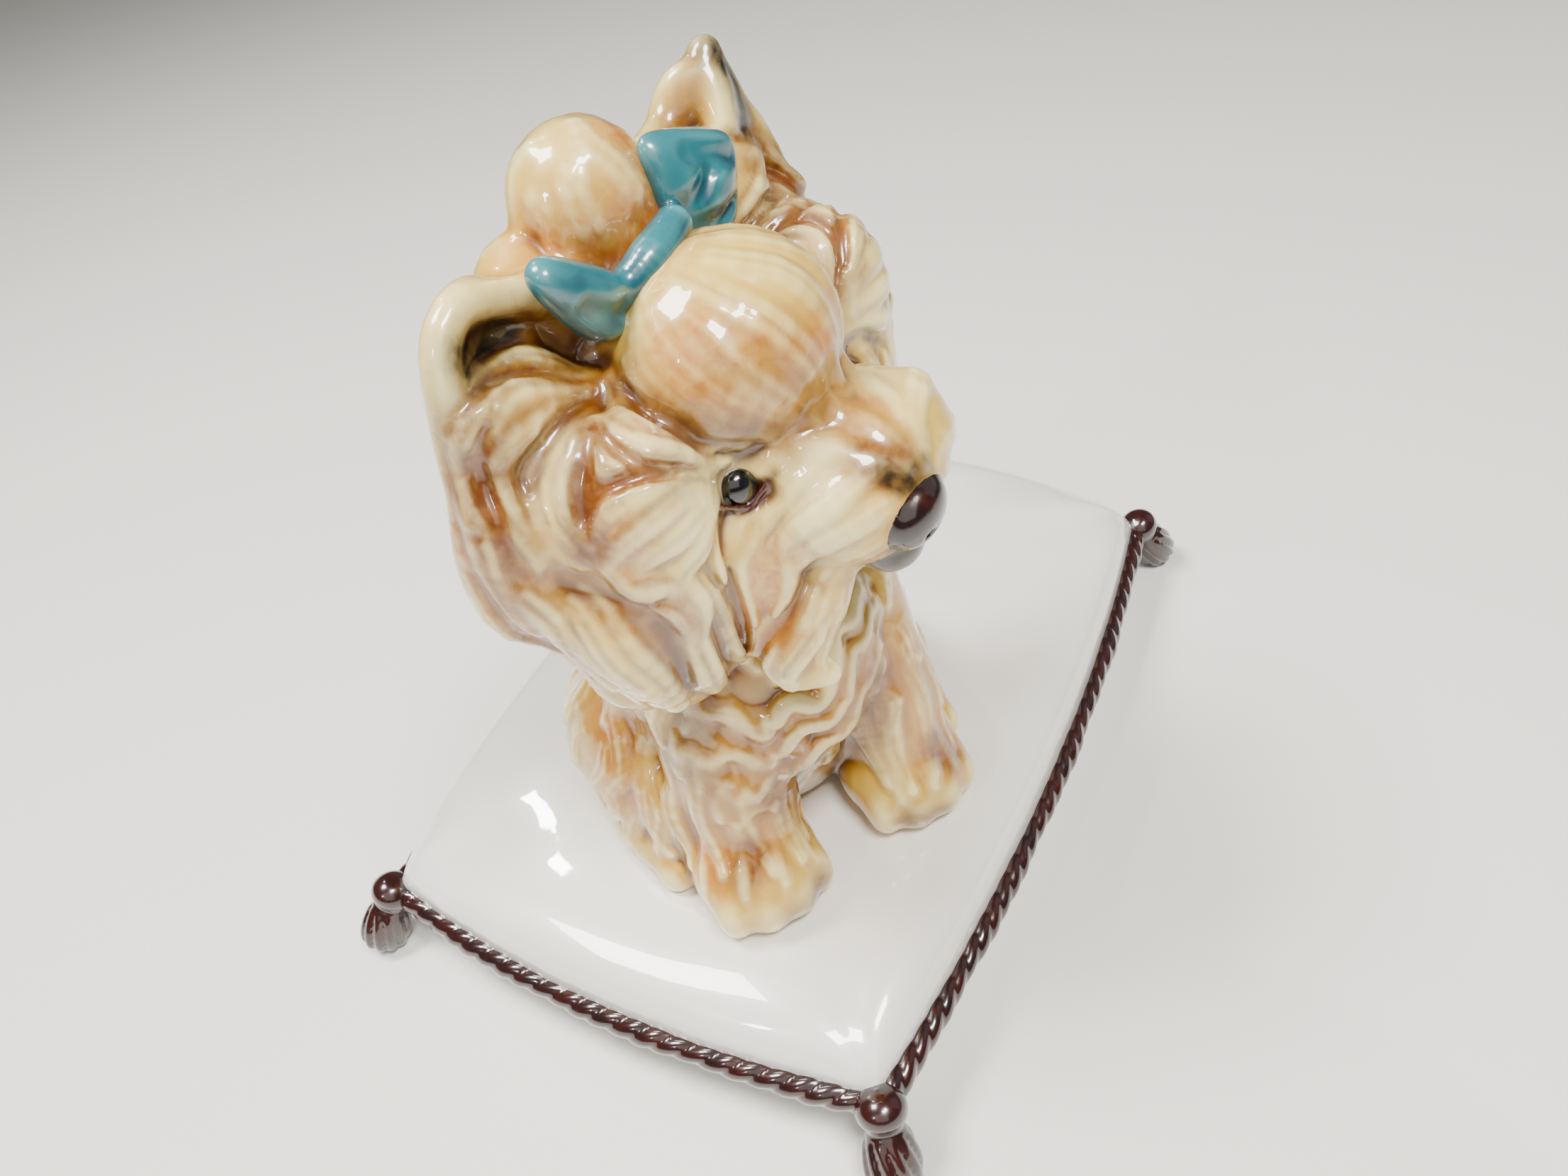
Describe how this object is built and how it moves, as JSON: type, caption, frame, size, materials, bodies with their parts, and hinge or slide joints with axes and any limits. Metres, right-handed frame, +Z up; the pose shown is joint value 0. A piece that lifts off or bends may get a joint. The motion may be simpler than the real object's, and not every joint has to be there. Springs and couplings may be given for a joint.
{
  "type": "ceramic dog figurine",
  "caption": "Glazed ceramic puppy with a bow in its topknot, sitting on a puffed pillow with corded edges and corner tassels; a free-standing ornament.",
  "frame": {"origin": "centre of the footprint on the table under the pillow", "axes": "+Z up, -Y the front that the puppy looks over, +X along the pillow's long side to the viewer's right"},
  "size_m": [0.1612, 0.1162, 0.1446],
  "materials": {
    "white_glaze": "high gloss clear glaze over white slip",
    "coat_glaze": "high gloss glaze over cream slip with airbrushed peach and brown",
    "maroon_glaze": "high gloss dark maroon-brown glaze",
    "bow_glaze": "high gloss turquoise glaze, darker in the folds",
    "nose_glaze": "high gloss dark brown glaze",
    "lip_glaze": "high gloss grey-pink glaze",
    "eye_glaze": "high gloss black glaze with a fine brown outline"
  },
  "bodies": {
    "root": {"cushion": "white_glaze", "cord_front": "maroon_glaze", "cord_right": "maroon_glaze", "cord_back": "maroon_glaze", "cord_left": "maroon_glaze", "tassel_front_left": "maroon_glaze", "tassel_front_right": "maroon_glaze", "tassel_back_right": "maroon_glaze", "tassel_back_left": "maroon_glaze", "torso": "coat_glaze", "tail": "coat_glaze", "haunch_left": "coat_glaze", "haunch_right": "coat_glaze", "hind_paw_left": "coat_glaze", "hind_paw_right": "coat_glaze", "foreleg_left": "coat_glaze", "foreleg_right": "coat_glaze", "chest_ruff": "coat_glaze", "head": "coat_glaze", "muzzle": "coat_glaze", "nose": "nose_glaze", "lower_lip": "lip_glaze", "beard": "coat_glaze", "eye_left": "eye_glaze", "eye_right": "eye_glaze", "ear_left": "coat_glaze", "ear_right": "coat_glaze", "cheek_hair_left": "coat_glaze", "cheek_hair_right": "coat_glaze", "forelock": "coat_glaze", "topknot": "coat_glaze", "bow_knot": "bow_glaze", "bow_loop_left": "bow_glaze", "bow_loop_right": "bow_glaze"}
  },
  "joints": []
}
